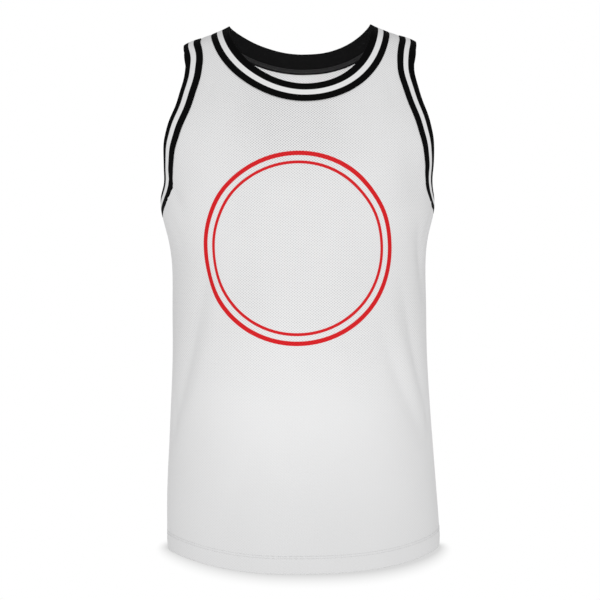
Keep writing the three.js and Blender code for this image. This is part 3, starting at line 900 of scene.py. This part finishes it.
@dataclass
class Panel:
    """The front or the back: one wall of mesh knit between the hem, the seams and the bands."""

    facing: Facing
    name: str
    neck: Opening
    armholes: dict[Side, Opening]
    wall: float = 1.2
    hem_wall: float = 2.3
    edge_roll: float = 0.45
    seam_groove: float = 0.7

    def hem_edge(self, steps: int) -> np.ndarray:
        """Edge of the hem on the figure, from the left side seam to the right."""
        share = -np.cos(np.linspace(0, np.pi, 600))
        height = np.full(share.shape, HEM.height, float)
        for _ in range(5):
            x = FIGURE.sway(height) + share * FIGURE.half_width(height)
            y = FIGURE.depth_reach(x, height, self.facing)
            points = np.stack([x, y, height], axis=1)
            height = HEM.line(share, y / FIGURE.reach(y, height))
        return even_points(points, steps)

    def side_line(self, side: Side) -> np.ndarray:
        """Side edge of the sheet: side seam from the hem up, then the armhole band's cut line."""
        band = self.armholes[side].cut_line(ARMHOLE.band, self.facing)
        hem = np.linspace(HEM.height, HEM.height + HEM.depth, DETAIL.hem, endpoint=False)
        above = np.linspace(HEM.height + HEM.depth, band[0, 2], DETAIL.side_seam, endpoint=False)
        height = np.concatenate([hem, above])
        across = side.value * FIGURE.half_width(height) + FIGURE.sway(height)
        seam = np.stack([across, np.zeros(len(height)), height], axis=1)
        return np.concatenate([seam, band])

    def top_line(self, left: np.ndarray, right: np.ndarray) -> np.ndarray:
        """Top edge of the sheet: shoulder seam, the neck band's cut line, shoulder seam."""
        neck = self.neck.cut_line(NECK.band, self.facing)
        share = np.linspace(0, 1, DETAIL.shoulder, endpoint=False)[:, None]
        start = left[-1] * (1 - share) + neck[0] * share
        end = (neck[-1] * (1 - share) + right[-1] * share)[1:]
        return FIGURE.settle(np.concatenate([start, neck, end, right[-1:]]))

    def sheet(self) -> np.ndarray:
        """Grid of places on the figure, a blend of the four edges, evened out above the underarm."""
        left, right = self.side_line(Side.LEFT), self.side_line(Side.RIGHT)
        top = self.top_line(left, right)
        bottom = self.hem_edge(len(top) - 1)
        rows, columns = len(left), len(top)
        share = [self.shares(run) for run in (left, right, bottom, top)]
        length = np.linalg.norm(top[columns // 2] - bottom[columns // 2])
        hem_share = HEM.depth / length
        centre = np.concatenate([
            np.linspace(0, hem_share, DETAIL.hem, endpoint=False),
            np.linspace(hem_share, DETAIL.underarm_share, DETAIL.side_seam, endpoint=False),
            np.linspace(DETAIL.underarm_share, 1, rows - DETAIL.hem - DETAIL.side_seam),
        ])[:, None]
        flat = np.abs(np.linspace(-1, 1, columns))[None]
        on_left = (np.arange(columns) * 2 < columns - 1)[None]
        v = np.where(on_left, share[0][:, None], share[1][:, None]) * flat + centre * (1 - flat)
        u = share[2][None] * (1 - v) + share[3][None] * v
        u, v = u[..., None], v[..., None]
        points = ((1 - u) * left[:, None] + u * right[:, None] + (1 - v) * bottom[None] + v * top[None]
                  - (1 - u) * (1 - v) * bottom[0] - u * (1 - v) * bottom[-1]
                  - (1 - u) * v * top[0] - u * v * top[-1])
        edges = np.zeros(points.shape[:2], bool)
        edges[[0, -1]], edges[:, [0, -1]] = True, True
        points = np.where(edges[..., None], points, FIGURE.settle(points))
        return self.relax(points, edges)

    @staticmethod
    def shares(run: np.ndarray) -> np.ndarray:
        """How far along a run each of its points lies, from 0 to 1."""
        length = np.concatenate([[0], np.cumsum(np.linalg.norm(np.diff(run, axis=0), axis=1))])
        return length / length[-1]

    @staticmethod
    def relax(points: np.ndarray, edges: np.ndarray) -> np.ndarray:
        """Draw each inner point towards the mean of its neighbours, more so higher up."""
        first = DETAIL.hem + DETAIL.side_seam - 8
        pull = np.clip((np.arange(len(points)) - first) / DETAIL.relax_rows, 0, 1)[:, None, None]
        pull = np.where(edges[..., None], 0, pull)
        for turn in range(DETAIL.relax_passes):
            mean = points.copy()
            mean[1:-1, 1:-1] = (points[:-2, 1:-1] + points[2:, 1:-1]
                                + points[1:-1, :-2] + points[1:-1, 2:]) / 4
            points = points + (mean - points) * pull
            if turn % 10 == 9:
                points = np.where(edges[..., None], points, FIGURE.settle(points, 3))
        return points

    def cloth_coordinates(self, sheet: np.ndarray) -> np.ndarray:
        """Grain of the cloth: millimetres round from the centre, and up from the shoulder's level.

        Round is the length of the section's outline from the centre line. Up is the height, and
        above the chest the length of the surface's upright outline at the same width.
        """
        steps = 40
        height = sheet[..., 2]
        across = sheet[..., 0] - FIGURE.sway(height)
        angle = np.arctan2(across, np.abs(sheet[..., 1]))
        share = np.linspace(0, 1, steps)
        turn = angle[..., None] * share
        power = FIGURE.squareness(height)[..., None]
        wide = np.abs(np.sin(turn)) / FIGURE.half_width(height)[..., None]
        deep = np.abs(np.cos(turn)) / FIGURE.reach(sheet[..., 1], height)[..., None]
        radius = (wide ** power + deep ** power) ** (-1 / power)
        x, y = radius * np.sin(turn), radius * np.cos(turn)
        round_way = np.hypot(np.diff(x), np.diff(y)).sum(-1) * np.sign(across)
        base = -120.0
        top = np.maximum(height, base)
        rise = base + (top - base)[..., None] * (1 - (1 - share) ** 2)
        depth = FIGURE.depth_reach(sheet[..., 0, None] * np.ones(steps), rise, Facing.FRONT
                                   if self.facing is Facing.FRONT else Facing.BACK)
        climb = np.hypot(np.diff(rise), np.diff(depth)).sum(-1)
        up = np.where(height < base, height, base + climb)
        return np.stack([round_way, up], axis=-1) * MM

    def build(self, material: bpy.types.Material) -> bpy.types.Object:
        """Make the wall and hand it over."""
        sheet = self.sheet()
        rows, columns = sheet.shape[:2]
        uv = self.cloth_coordinates(sheet)
        sheet[:DETAIL.hem, :, 2] += self.scallops(sheet[0]) * np.linspace(1, 0, DETAIL.hem)[:, None]
        roll = self.edge_drop(sheet)
        hem = (np.arange(rows) < DETAIL.hem)[:, None]
        wall = np.where(hem, self.hem_wall, self.wall) * np.ones((1, columns))
        outer = CLOTH.place(sheet, -roll)
        inner = CLOTH.place(sheet, -np.maximum(wall, roll + 0.5))
        for layer in (outer, inner):
            limit = self.facing.value * SEAM_GAP / 2
            keep = np.minimum if self.facing is Facing.FRONT else np.maximum
            layer[..., 1] = keep(layer[..., 1], limit)
        points = np.concatenate([outer.reshape(-1, 3), inner.reshape(-1, 3)])
        faces = [grid_faces(rows, columns), grid_faces(rows, columns)[:, ::-1] + rows * columns]
        number = np.arange(rows * columns).reshape(rows, columns)
        rim = np.concatenate([number[0, :-1], number[:-1, -1], number[-1, :0:-1], number[:0:-1, 0]])
        after = np.roll(rim, -1)
        faces.append(np.stack([after, rim, rim + rows * columns, after + rows * columns], axis=1))
        faces = facing_out(points, np.concatenate(faces))
        uvs = np.concatenate([uv.reshape(-1, 2)] * 2)
        piece = make_mesh(self.name + "_cloth", points, faces, uvs)
        hand_over(piece, material, self.name)
        return piece

    @staticmethod
    def scallops(edge: np.ndarray) -> np.ndarray:
        """Small uneven rises and falls of the hem's edge, which fade to the side seams."""
        wide, narrow = HEM.scallop_pitch
        around = np.arctan2(edge[:, 0], -edge[:, 1]) * CLOTH.fold_radius
        slow = 0.5 + 0.5 * np.sin(around / 47 + 0.8)
        wave = HEM.scallop * np.sin(2 * np.pi * around / wide + 1.6 * np.sin(around / 39))
        wave += HEM.small_scallop * np.sin(2 * np.pi * around / narrow)
        return slow * wave * np.sin(np.linspace(0, np.pi, len(edge)))

    def edge_drop(self, sheet: np.ndarray) -> np.ndarray:
        """How far the cloth rolls down at its seams: most at the very edge, gone a little inside."""
        left = np.linalg.norm(sheet - sheet[:, :1], axis=-1)
        right = np.linalg.norm(sheet - sheet[:, -1:], axis=-1)
        top = np.linalg.norm(sheet - sheet[-1:], axis=-1)
        side = np.minimum(left, right)
        near = np.minimum(side, top)
        return self.edge_roll * np.exp(-(near / 1.4) ** 2) + self.seam_groove * 0.4 * np.exp(-(near / 5) ** 2)

    @staticmethod
    def area(layer: np.ndarray) -> float:
        """Area of one face of the cloth in square metres."""
        a, b, c, d = layer[:-1, :-1], layer[:-1, 1:], layer[1:, 1:], layer[1:, :-1]
        first = np.linalg.norm(np.cross(b - a, c - a), axis=-1)
        second = np.linalg.norm(np.cross(c - a, d - a), axis=-1)
        return float((first + second).sum() / 2) * MM * MM


@dataclass
class Band:
    """A rib band round an opening, folded at the edge, with its seam allowance inside."""

    name: str
    opening: Opening
    width: float
    wall: float = 2.6
    crown: float = 0.55
    lap_face: float = -2.6
    lap_wall: float = 1.0

    def profile(self) -> np.ndarray:
        """Section as rows of distance from the fold and rise above the panels' outer face.

        It starts at the fold, crosses the outer face, turns down at the seam, runs round the
        seam allowance and comes back along the inner face.
        """
        radius = self.wall / 2
        bend = np.linspace(0, np.pi / 2, 6)
        fold_out = np.stack([radius * (1 - np.sin(bend)), -radius + radius * np.cos(bend)], axis=1)[::-1]
        across = np.linspace(radius, self.width - 0.8, 20)[1:]
        middle = (across - radius) / (self.width - radius)
        face = np.stack([across, self.crown * np.sin(np.pi * middle) ** 0.7], axis=1)
        lap = self.width + SEAM_LAP
        seam = np.array([
            (self.width - 0.25, -0.12), (self.width, -0.6), (self.width, self.lap_face),
            (lap - 0.4, self.lap_face), (lap, self.lap_face - 0.5),
            (lap - 0.4, self.lap_face - self.lap_wall), (self.width - 1, self.lap_face - self.lap_wall),
        ])
        back = np.linspace(self.width - 3, radius, 9)
        inner = np.stack([back, np.full(9, -self.wall)], axis=1)
        fold_in = np.stack([radius * (1 - np.sin(bend)), -radius - radius * np.cos(bend)], axis=1)[1:-1]
        return np.concatenate([fold_out, face, seam, inner, fold_in])

    def build(self, material: bpy.types.Material) -> bpy.types.Object:
        """Carry the section along the opening's paths and hand the ring over."""
        profile = self.profile()
        rings = [CLOTH.place(self.opening.at(distance), rise) for distance, rise in profile]
        grid = np.stack(rings, axis=1)
        count, around = grid.shape[1], grid.shape[0]
        ring_length = np.linalg.norm(np.roll(grid[:, 8], -1, axis=0) - grid[:, 8], axis=1)
        along = np.concatenate([[0], np.cumsum(ring_length)])
        step = np.linalg.norm(np.diff(profile, axis=0), axis=1)
        down = np.concatenate([[0], np.cumsum(step), [np.cumsum(step)[-1] + 0.5]])
        flat = np.stack(np.meshgrid(along, down, indexing="ij"), axis=-1) * MM
        faces = grid_faces(around, count, wrap_rows=True, wrap_columns=True)
        points = grid.reshape(-1, 3)
        faces = facing_out(points, faces)
        piece = make_mesh(self.name + "_rib", points, faces)
        self.lay_coordinates(piece, faces, flat.astype(np.float32), count, around)
        hand_over(piece, material, self.name)
        shown = self.width + SEAM_LAP
        (shown + 1.5) * MM
        return piece

    @staticmethod
    def lay_coordinates(piece: bpy.types.Object, faces: np.ndarray, flat: np.ndarray,
                        count: int, around: int) -> None:
        """Give each face its cloth coordinates, unbroken across the ring's joins.

        Args:
            piece: the band's mesh.
            faces: its faces, as point numbers.
            flat: coordinates of a grid with one more row and column than the points.
            count: points in the section.
            around: sections round the ring.
        """
        ring, place = faces // count, faces % count
        last_ring = (ring.max(1, keepdims=True) == around - 1) & (ring == 0)
        last_place = (place.max(1, keepdims=True) == count - 1) & (place == 0)
        wraps = np.where(last_ring, around, ring), np.where(last_place, count, place)
        uv = flat[wraps]
        layer = piece.data.uv_layers.new(name="cloth")
        layer.data.foreach_set("uv", uv.ravel())


def tube(path: np.ndarray, radius: float, sides: int, closed: bool) -> tuple[np.ndarray, np.ndarray]:
    """A thread along a path: a small circle square to the path at each of its points.

    Args:
        path: points in millimetres.
        radius: the thread's radius.
        sides: corners of the circle.
        closed: whether the last point joins the first.

    Returns:
        Points and four-sided faces.
    """
    if closed:
        along = np.roll(path, -1, axis=0) - np.roll(path, 1, axis=0)
    else:
        along = np.gradient(path, axis=0)
    along = unit(along)
    out = FIGURE.outward(path)
    side = unit(np.cross(along, out))
    up = np.cross(side, along)
    angle = np.linspace(0, 2 * np.pi, sides, endpoint=False)
    ring = np.cos(angle)[None, :, None] * side[:, None] + np.sin(angle)[None, :, None] * up[:, None]
    points = path[:, None] + radius * ring
    faces = grid_faces(len(path), sides, wrap_rows=closed, wrap_columns=True)
    return points.reshape(-1, 3), faces


@dataclass
class Overlock:
    """Overlock threads over a band's seam allowance, seen inside the neck and armholes."""

    name: str
    opening: Opening
    width: float
    loops: int
    rise: tuple[float, float] = (-3.05, -4.1)
    reach: tuple[float, float] = (-3.0, 1.6)
    step: tuple[float, float] = (3, 5)
    strips: int = 8
    thread: float = 0.4

    def build(self, material: bpy.types.Material) -> bpy.types.Object:
        """Zigzag loops across the allowance and one thread along its edge.

        Along the ring the thread swings between the two edges as a rounded triangle wave.
        """
        close = self.width + np.linspace(*self.reach, self.strips + 1)
        rings = np.stack([self.opening.at(distance) for distance in close])
        count = rings.shape[1]
        samples = self.loops * 8
        place = np.arange(samples) / samples
        swing = np.sin(2 * np.pi * self.loops * place)
        swing = np.clip(swing * 1.25, -1, 1) * 0.5 + 0.5
        rows, columns = swing * self.strips, place * count
        r0, c0 = np.minimum(rows.astype(int), self.strips - 1), columns.astype(int) % count
        fr, fc = (rows - r0)[:, None], (columns - np.floor(columns))[:, None]
        c1 = (c0 + 1) % count
        base = ((rings[r0, c0] * (1 - fr) + rings[r0 + 1, c0] * fr) * (1 - fc)
                + (rings[r0, c1] * (1 - fr) + rings[r0 + 1, c1] * fr) * fc)
        rise = np.interp(rows, self.step, self.rise)
        zigzag, faces = tube(CLOTH.place(FIGURE.settle(base, 2), rise), self.thread, 5, True)
        edge = CLOTH.place(self.opening.at(close[0]), self.rise[0])
        edge_points, edge_faces = tube(edge, self.thread * 1.25, 5, True)
        points = np.concatenate([zigzag, edge_points])
        faces = np.concatenate([faces, edge_faces + len(zigzag)])
        piece = make_mesh(self.name, points, faces)
        hand_over(piece, material)
        return piece


@dataclass
class HemStitches:
    """Two rows of cover stitches that hold the turned-up hem."""

    rows: tuple[float, ...] = (20.6, 23.6)
    pitch: float = 3.1
    length: float = 2.5
    radius: float = 0.2

    def line(self, above: float) -> np.ndarray:
        """Closed line on the figure at one distance above the hem's edge."""
        bearing = np.linspace(-np.pi, np.pi, 2400, endpoint=False)
        height = np.full(bearing.shape, HEM.height + above, float)
        for _ in range(5):
            power = FIGURE.squareness(height)
            reach = np.where(np.cos(bearing) > 0, FIGURE.front(height), FIGURE.back(height))
            wide = np.abs(np.sin(bearing)) / FIGURE.half_width(height)
            radius = (wide ** power + (np.abs(np.cos(bearing)) / reach) ** power) ** (-1 / power)
            depth = -radius * np.cos(bearing)
            height = HEM.line(np.sin(bearing), depth / reach) + above
        return np.stack([FIGURE.sway(height) + radius * np.sin(bearing), depth, height], axis=1)

    def build(self, material: bpy.types.Material) -> bpy.types.Object:
        """Lay a small rounded bar for each stitch, as one joined mesh."""
        parts, faces, total = [], [], 0
        for above in self.rows:
            line = self.line(above)
            run = np.concatenate([line, line[:1]])
            length = np.linalg.norm(np.diff(run, axis=0), axis=1).sum()
            count = int(length / self.pitch)
            start = np.arange(count)[:, None] * self.pitch
            share = np.array([0, 0.12, 0.5, 0.88, 1])[None]
            places = (start + share * self.length) / length * (len(run) - 1)
            index = np.minimum(places.astype(int), len(run) - 2)
            part = (places - index)[..., None]
            base = run[index] * (1 - part) + run[index + 1] * part
            lift = np.array([-0.25, 0.12, 0.2, 0.12, -0.25])
            path = CLOTH.place(base, np.broadcast_to(lift, base.shape[:2]))
            along = unit(np.gradient(path, axis=1))
            out = FIGURE.outward(base)
            side = unit(np.cross(along, out))
            angle = np.linspace(0, 2 * np.pi, 6, endpoint=False)
            thick = self.radius * np.array([0.35, 1, 1.1, 1, 0.35])[None, :, None, None]
            ring = (np.cos(angle)[None, None, :, None] * side[:, :, None]
                    + np.sin(angle)[None, None, :, None] * np.cross(side, along)[:, :, None])
            points = path[:, :, None] + ring * thick
            quads = grid_faces(5, 6, wrap_columns=True)
            offset = (np.arange(count) * 30)[:, None, None]
            faces.append((quads[None] + offset).reshape(-1, 4) + total)
            parts.append(points.reshape(-1, 3))
            total += count * 30
        piece = make_mesh("hem_cover_stitches", np.concatenate(parts), np.concatenate(faces))
        self.cap(piece)
        hand_over(piece, material)
        return piece

    @staticmethod
    def cap(piece: bpy.types.Object) -> None:
        """Close both ends of every stitch with a face."""
        mesh = piece.data
        count = len(mesh.vertices) // 30
        first = np.arange(count)[:, None] * 30
        ends = np.concatenate([first + np.arange(6)[::-1], first + 24 + np.arange(6)])
        points = np.empty(len(mesh.vertices) * 3, np.float32)
        mesh.vertices.foreach_get("co", points)
        quads = np.empty(len(mesh.loops), np.int32)
        mesh.loops.foreach_get("vertex_index", quads)
        faces = [tuple(row) for row in quads.reshape(-1, 4).tolist()] + [tuple(row) for row in ends.tolist()]
        mesh.clear_geometry()
        mesh.from_pydata(points.reshape(-1, 3).tolist(), [], faces)
        mesh.polygons.foreach_set("use_smooth", np.full(len(faces), True))


@dataclass(frozen=True)
class Studio:
    """White room, lights before the chest, the belly and inside the neck, and the camera."""

    distance: float = 2.6
    eye_height: float = -0.365
    view_width: float = 0.825
    sensor: float = 36.0
    sky: float = 0.79
    bounce: float = 1.08
    # Darkness, gap, reach and fade of the painted shadow under the hem
    shade: float = 0.32
    shade_gap: float = 3.0
    shade_reach: tuple[float, float] = (17.0, 132.0)
    shade_back: float = 20.0
    shade_fade: float = 1.7

    def build(self) -> None:
        """Make the painted shadow sheet under the hem, the lights, the world and the camera."""
        self.painted_shadow_sheet()
        self.lamp("front_softbox", (0.0, -0.95, -0.2), (0.0, 0.0, -0.2), 0.4, 2.1)
        self.lamp("neck_glow", (0.0, -0.01, -0.2), (0.0, 0.09, -0.07), 0.1, 0.2)
        self.lamp("belly_spot", (0.0, -2.5, -0.45), (0.0, -0.12, -0.5), 0.08, 14.0, 8.0)
        self.world()
        self.camera()
        bpy.context.scene.view_settings.view_transform = "Standard"

    def painted_shadow_sheet(self) -> None:
        """A see-through black sheet just under the hem, with a painted shadow close to it.

        It follows the hem's line. The painted shadow is full under the garment and fades with
        (1 - share of the reach) ** shade_fade. Light from below reaches the
        cloth through it.
        """
        line = HemStitches().line(0)
        line[:, 2] -= self.shade_gap
        out = unit(FIGURE.outward(line) * (1, 1, 0))
        share = np.linspace(0, 1, 24)[:, None, None]
        inner = line * (0.02, 0.02, 1)
        start = line - out * (0, self.shade_back, 0)
        rings = start + share * out * (*self.shade_reach, 0)
        points = np.concatenate([inner[None], rings])
        rows, columns = points.shape[:2]
        faces = grid_faces(rows, columns, wrap_columns=True)
        fade = np.concatenate([[0.0], share.ravel()])
        uv = np.stack([np.repeat(fade, columns), np.zeros(rows * columns)], axis=1)
        painted_shadow_sheet = make_mesh("painted_shadow_sheet", points.reshape(-1, 3), faces, uv)
        # Black sheet whose alpha paints the shadow under the hem; it casts none of its own
        shader = Shader("painted_shadow", {"Roughness": 1.0, "Specular IOR Level": 0.0})
        shader.base((0.0, 0.0, 0.0))
        fade_in = shader.cloth_uv()[0] * 0.001
        inputs = {0: 1 - fade_in, 1: self.shade_fade}
        power = Socket(shader, shader.node("ShaderNodeMath", {"operation": "POWER"}, inputs).outputs[0])
        shader.tree.links.new((power * self.shade).link, shader.bsdf.inputs["Alpha"])
        painted_shadow_sheet.data.materials.append(shader.material)
        painted_shadow_sheet.visible_diffuse = False

    @staticmethod
    def lamp(name: str, place: tuple[float, float, float], aim: tuple[float, float, float],
             size: float, power: float, cone: float | None = None) -> None:
        """A soft light that the camera doesn't see: a square, or a spot where a cone is given."""
        light = bpy.data.lights.new(name, "SPOT" if cone else "AREA")
        light.energy = power
        if cone:
            light.shadow_soft_size, light.spot_size, light.spot_blend = size, math.radians(cone), 1.0
        else:
            light.shape, light.size = "SQUARE", size
        lamp = bpy.data.objects.new(name, light)
        lamp.location = place
        lamp.rotation_euler = (Vector(aim) - Vector(place)).to_track_quat("-Z", "Y").to_euler()
        lamp.visible_camera = False
        bpy.context.scene.collection.objects.link(lamp)

    def world(self) -> None:
        """White behind the garment, and a softer light on it, a little stronger from below."""
        world = bpy.data.worlds.new("studio")
        bpy.context.scene.world = world
        world.use_nodes = True
        tree = world.node_tree
        tree.nodes.clear()
        path = tree.nodes.new("ShaderNodeLightPath")
        seen = tree.nodes.new("ShaderNodeBackground")
        seen.inputs["Color"].default_value = (1, 1, 1, 1)
        way = tree.nodes.new("ShaderNodeTexCoord")
        upward = tree.nodes.new("ShaderNodeSeparateXYZ")
        level = tree.nodes.new("ShaderNodeMapRange")
        level.inputs["From Min"].default_value, level.inputs["From Max"].default_value = -0.5, 0.5
        level.inputs["To Min"].default_value, level.inputs["To Max"].default_value = self.bounce, self.sky
        lit = tree.nodes.new("ShaderNodeBackground")
        tree.links.new(way.outputs["Generated"], upward.inputs[0])
        tree.links.new(upward.outputs["Z"], level.inputs["Value"])
        tree.links.new(level.outputs["Result"], lit.inputs["Strength"])
        mix = tree.nodes.new("ShaderNodeMixShader")
        out = tree.nodes.new("ShaderNodeOutputWorld")
        tree.links.new(path.outputs["Is Camera Ray"], mix.inputs[0])
        tree.links.new(lit.outputs[0], mix.inputs[1])
        tree.links.new(seen.outputs[0], mix.inputs[2])
        tree.links.new(mix.outputs[0], out.inputs[0])

    def camera(self) -> None:
        """Level camera at mid height, straight in front, framed as the photograph."""
        lens = bpy.data.cameras.new("camera")
        lens.sensor_width = self.sensor
        lens.lens = self.sensor * self.distance / self.view_width
        camera = bpy.data.objects.new("camera", lens)
        turn = Matrix.Rotation(math.pi / 2, 4, "X")
        camera.matrix_world = Matrix.Translation((0.0, -self.distance, self.eye_height)) @ turn
        bpy.context.scene.collection.objects.link(camera)
        bpy.context.scene.camera = camera


class Jersey:
    """The whole garment: its openings, its two panels, its three bands and its sewing."""

    def __init__(self) -> None:
        """Work out the openings that every piece is cut to."""
        neck_centre = np.array([0.0, 0.0, 40.0])
        self.neck = Opening(
            NECK.edge(Facing.FRONT, DETAIL.neck), NECK.edge(Facing.BACK, DETAIL.neck),
            neck_centre, NECK.band + SEAM_LAP,
        )
        self.armholes = {}
        for side in Side:
            centre = np.array([side.value * 190.0, 0.0, (ARMHOLE.tip + ARMHOLE.foot) / 2])
            self.armholes[side] = Opening(
                ARMHOLE.edge(side, Facing.FRONT, DETAIL.armhole),
                ARMHOLE.edge(side, Facing.BACK, DETAIL.armhole),
                centre, ARMHOLE.band + SEAM_LAP,
            )

    def build(self) -> None:
        """Make every piece in the order of sewing."""
        printed = MeshKnit(rings=Rings()).material("white_mesh_printed")
        plain = MeshKnit().material("white_mesh")
        Panel(Facing.FRONT, "front_panel", self.neck, self.armholes).build(printed)
        Panel(Facing.BACK, "back_panel", self.neck, self.armholes).build(plain)
        neck_rib = StripedRib(NECK.band, (10.9, 18.2)).material("neck_rib")
        arm_ribs = {
            Side.LEFT: StripedRib(ARMHOLE.band, (9.4, 17.2)).material("armhole_rib_left"),
            Side.RIGHT: StripedRib(ARMHOLE.band, (11.3, 18.2)).material("armhole_rib_right"),
        }
        Band("neck_band", self.neck, NECK.band).build(neck_rib)
        for side, name in ((Side.LEFT, "armhole_band_left"), (Side.RIGHT, "armhole_band_right")):
            Band(name, self.armholes[side], ARMHOLE.band).build(arm_ribs[side])
        grey = Thread((0.042, 0.042, 0.043)).material("dark_thread")
        Overlock("neck_overlock", self.neck, NECK.band, 380).build(grey)
        for side, name in ((Side.LEFT, "armhole_overlock_left"), (Side.RIGHT, "armhole_overlock_right")):
            Overlock(name, self.armholes[side], ARMHOLE.band, 210).build(grey)
        HemStitches().build(Thread((0.86, 0.86, 0.865)).material("white_thread"))


def main() -> None:
    """Build the studio and the garment."""
    logging.basicConfig(level=logging.INFO, format="%(name)s %(message)s")
    Studio().build()
    Jersey().build()


if __name__ == "__main__":
    main()
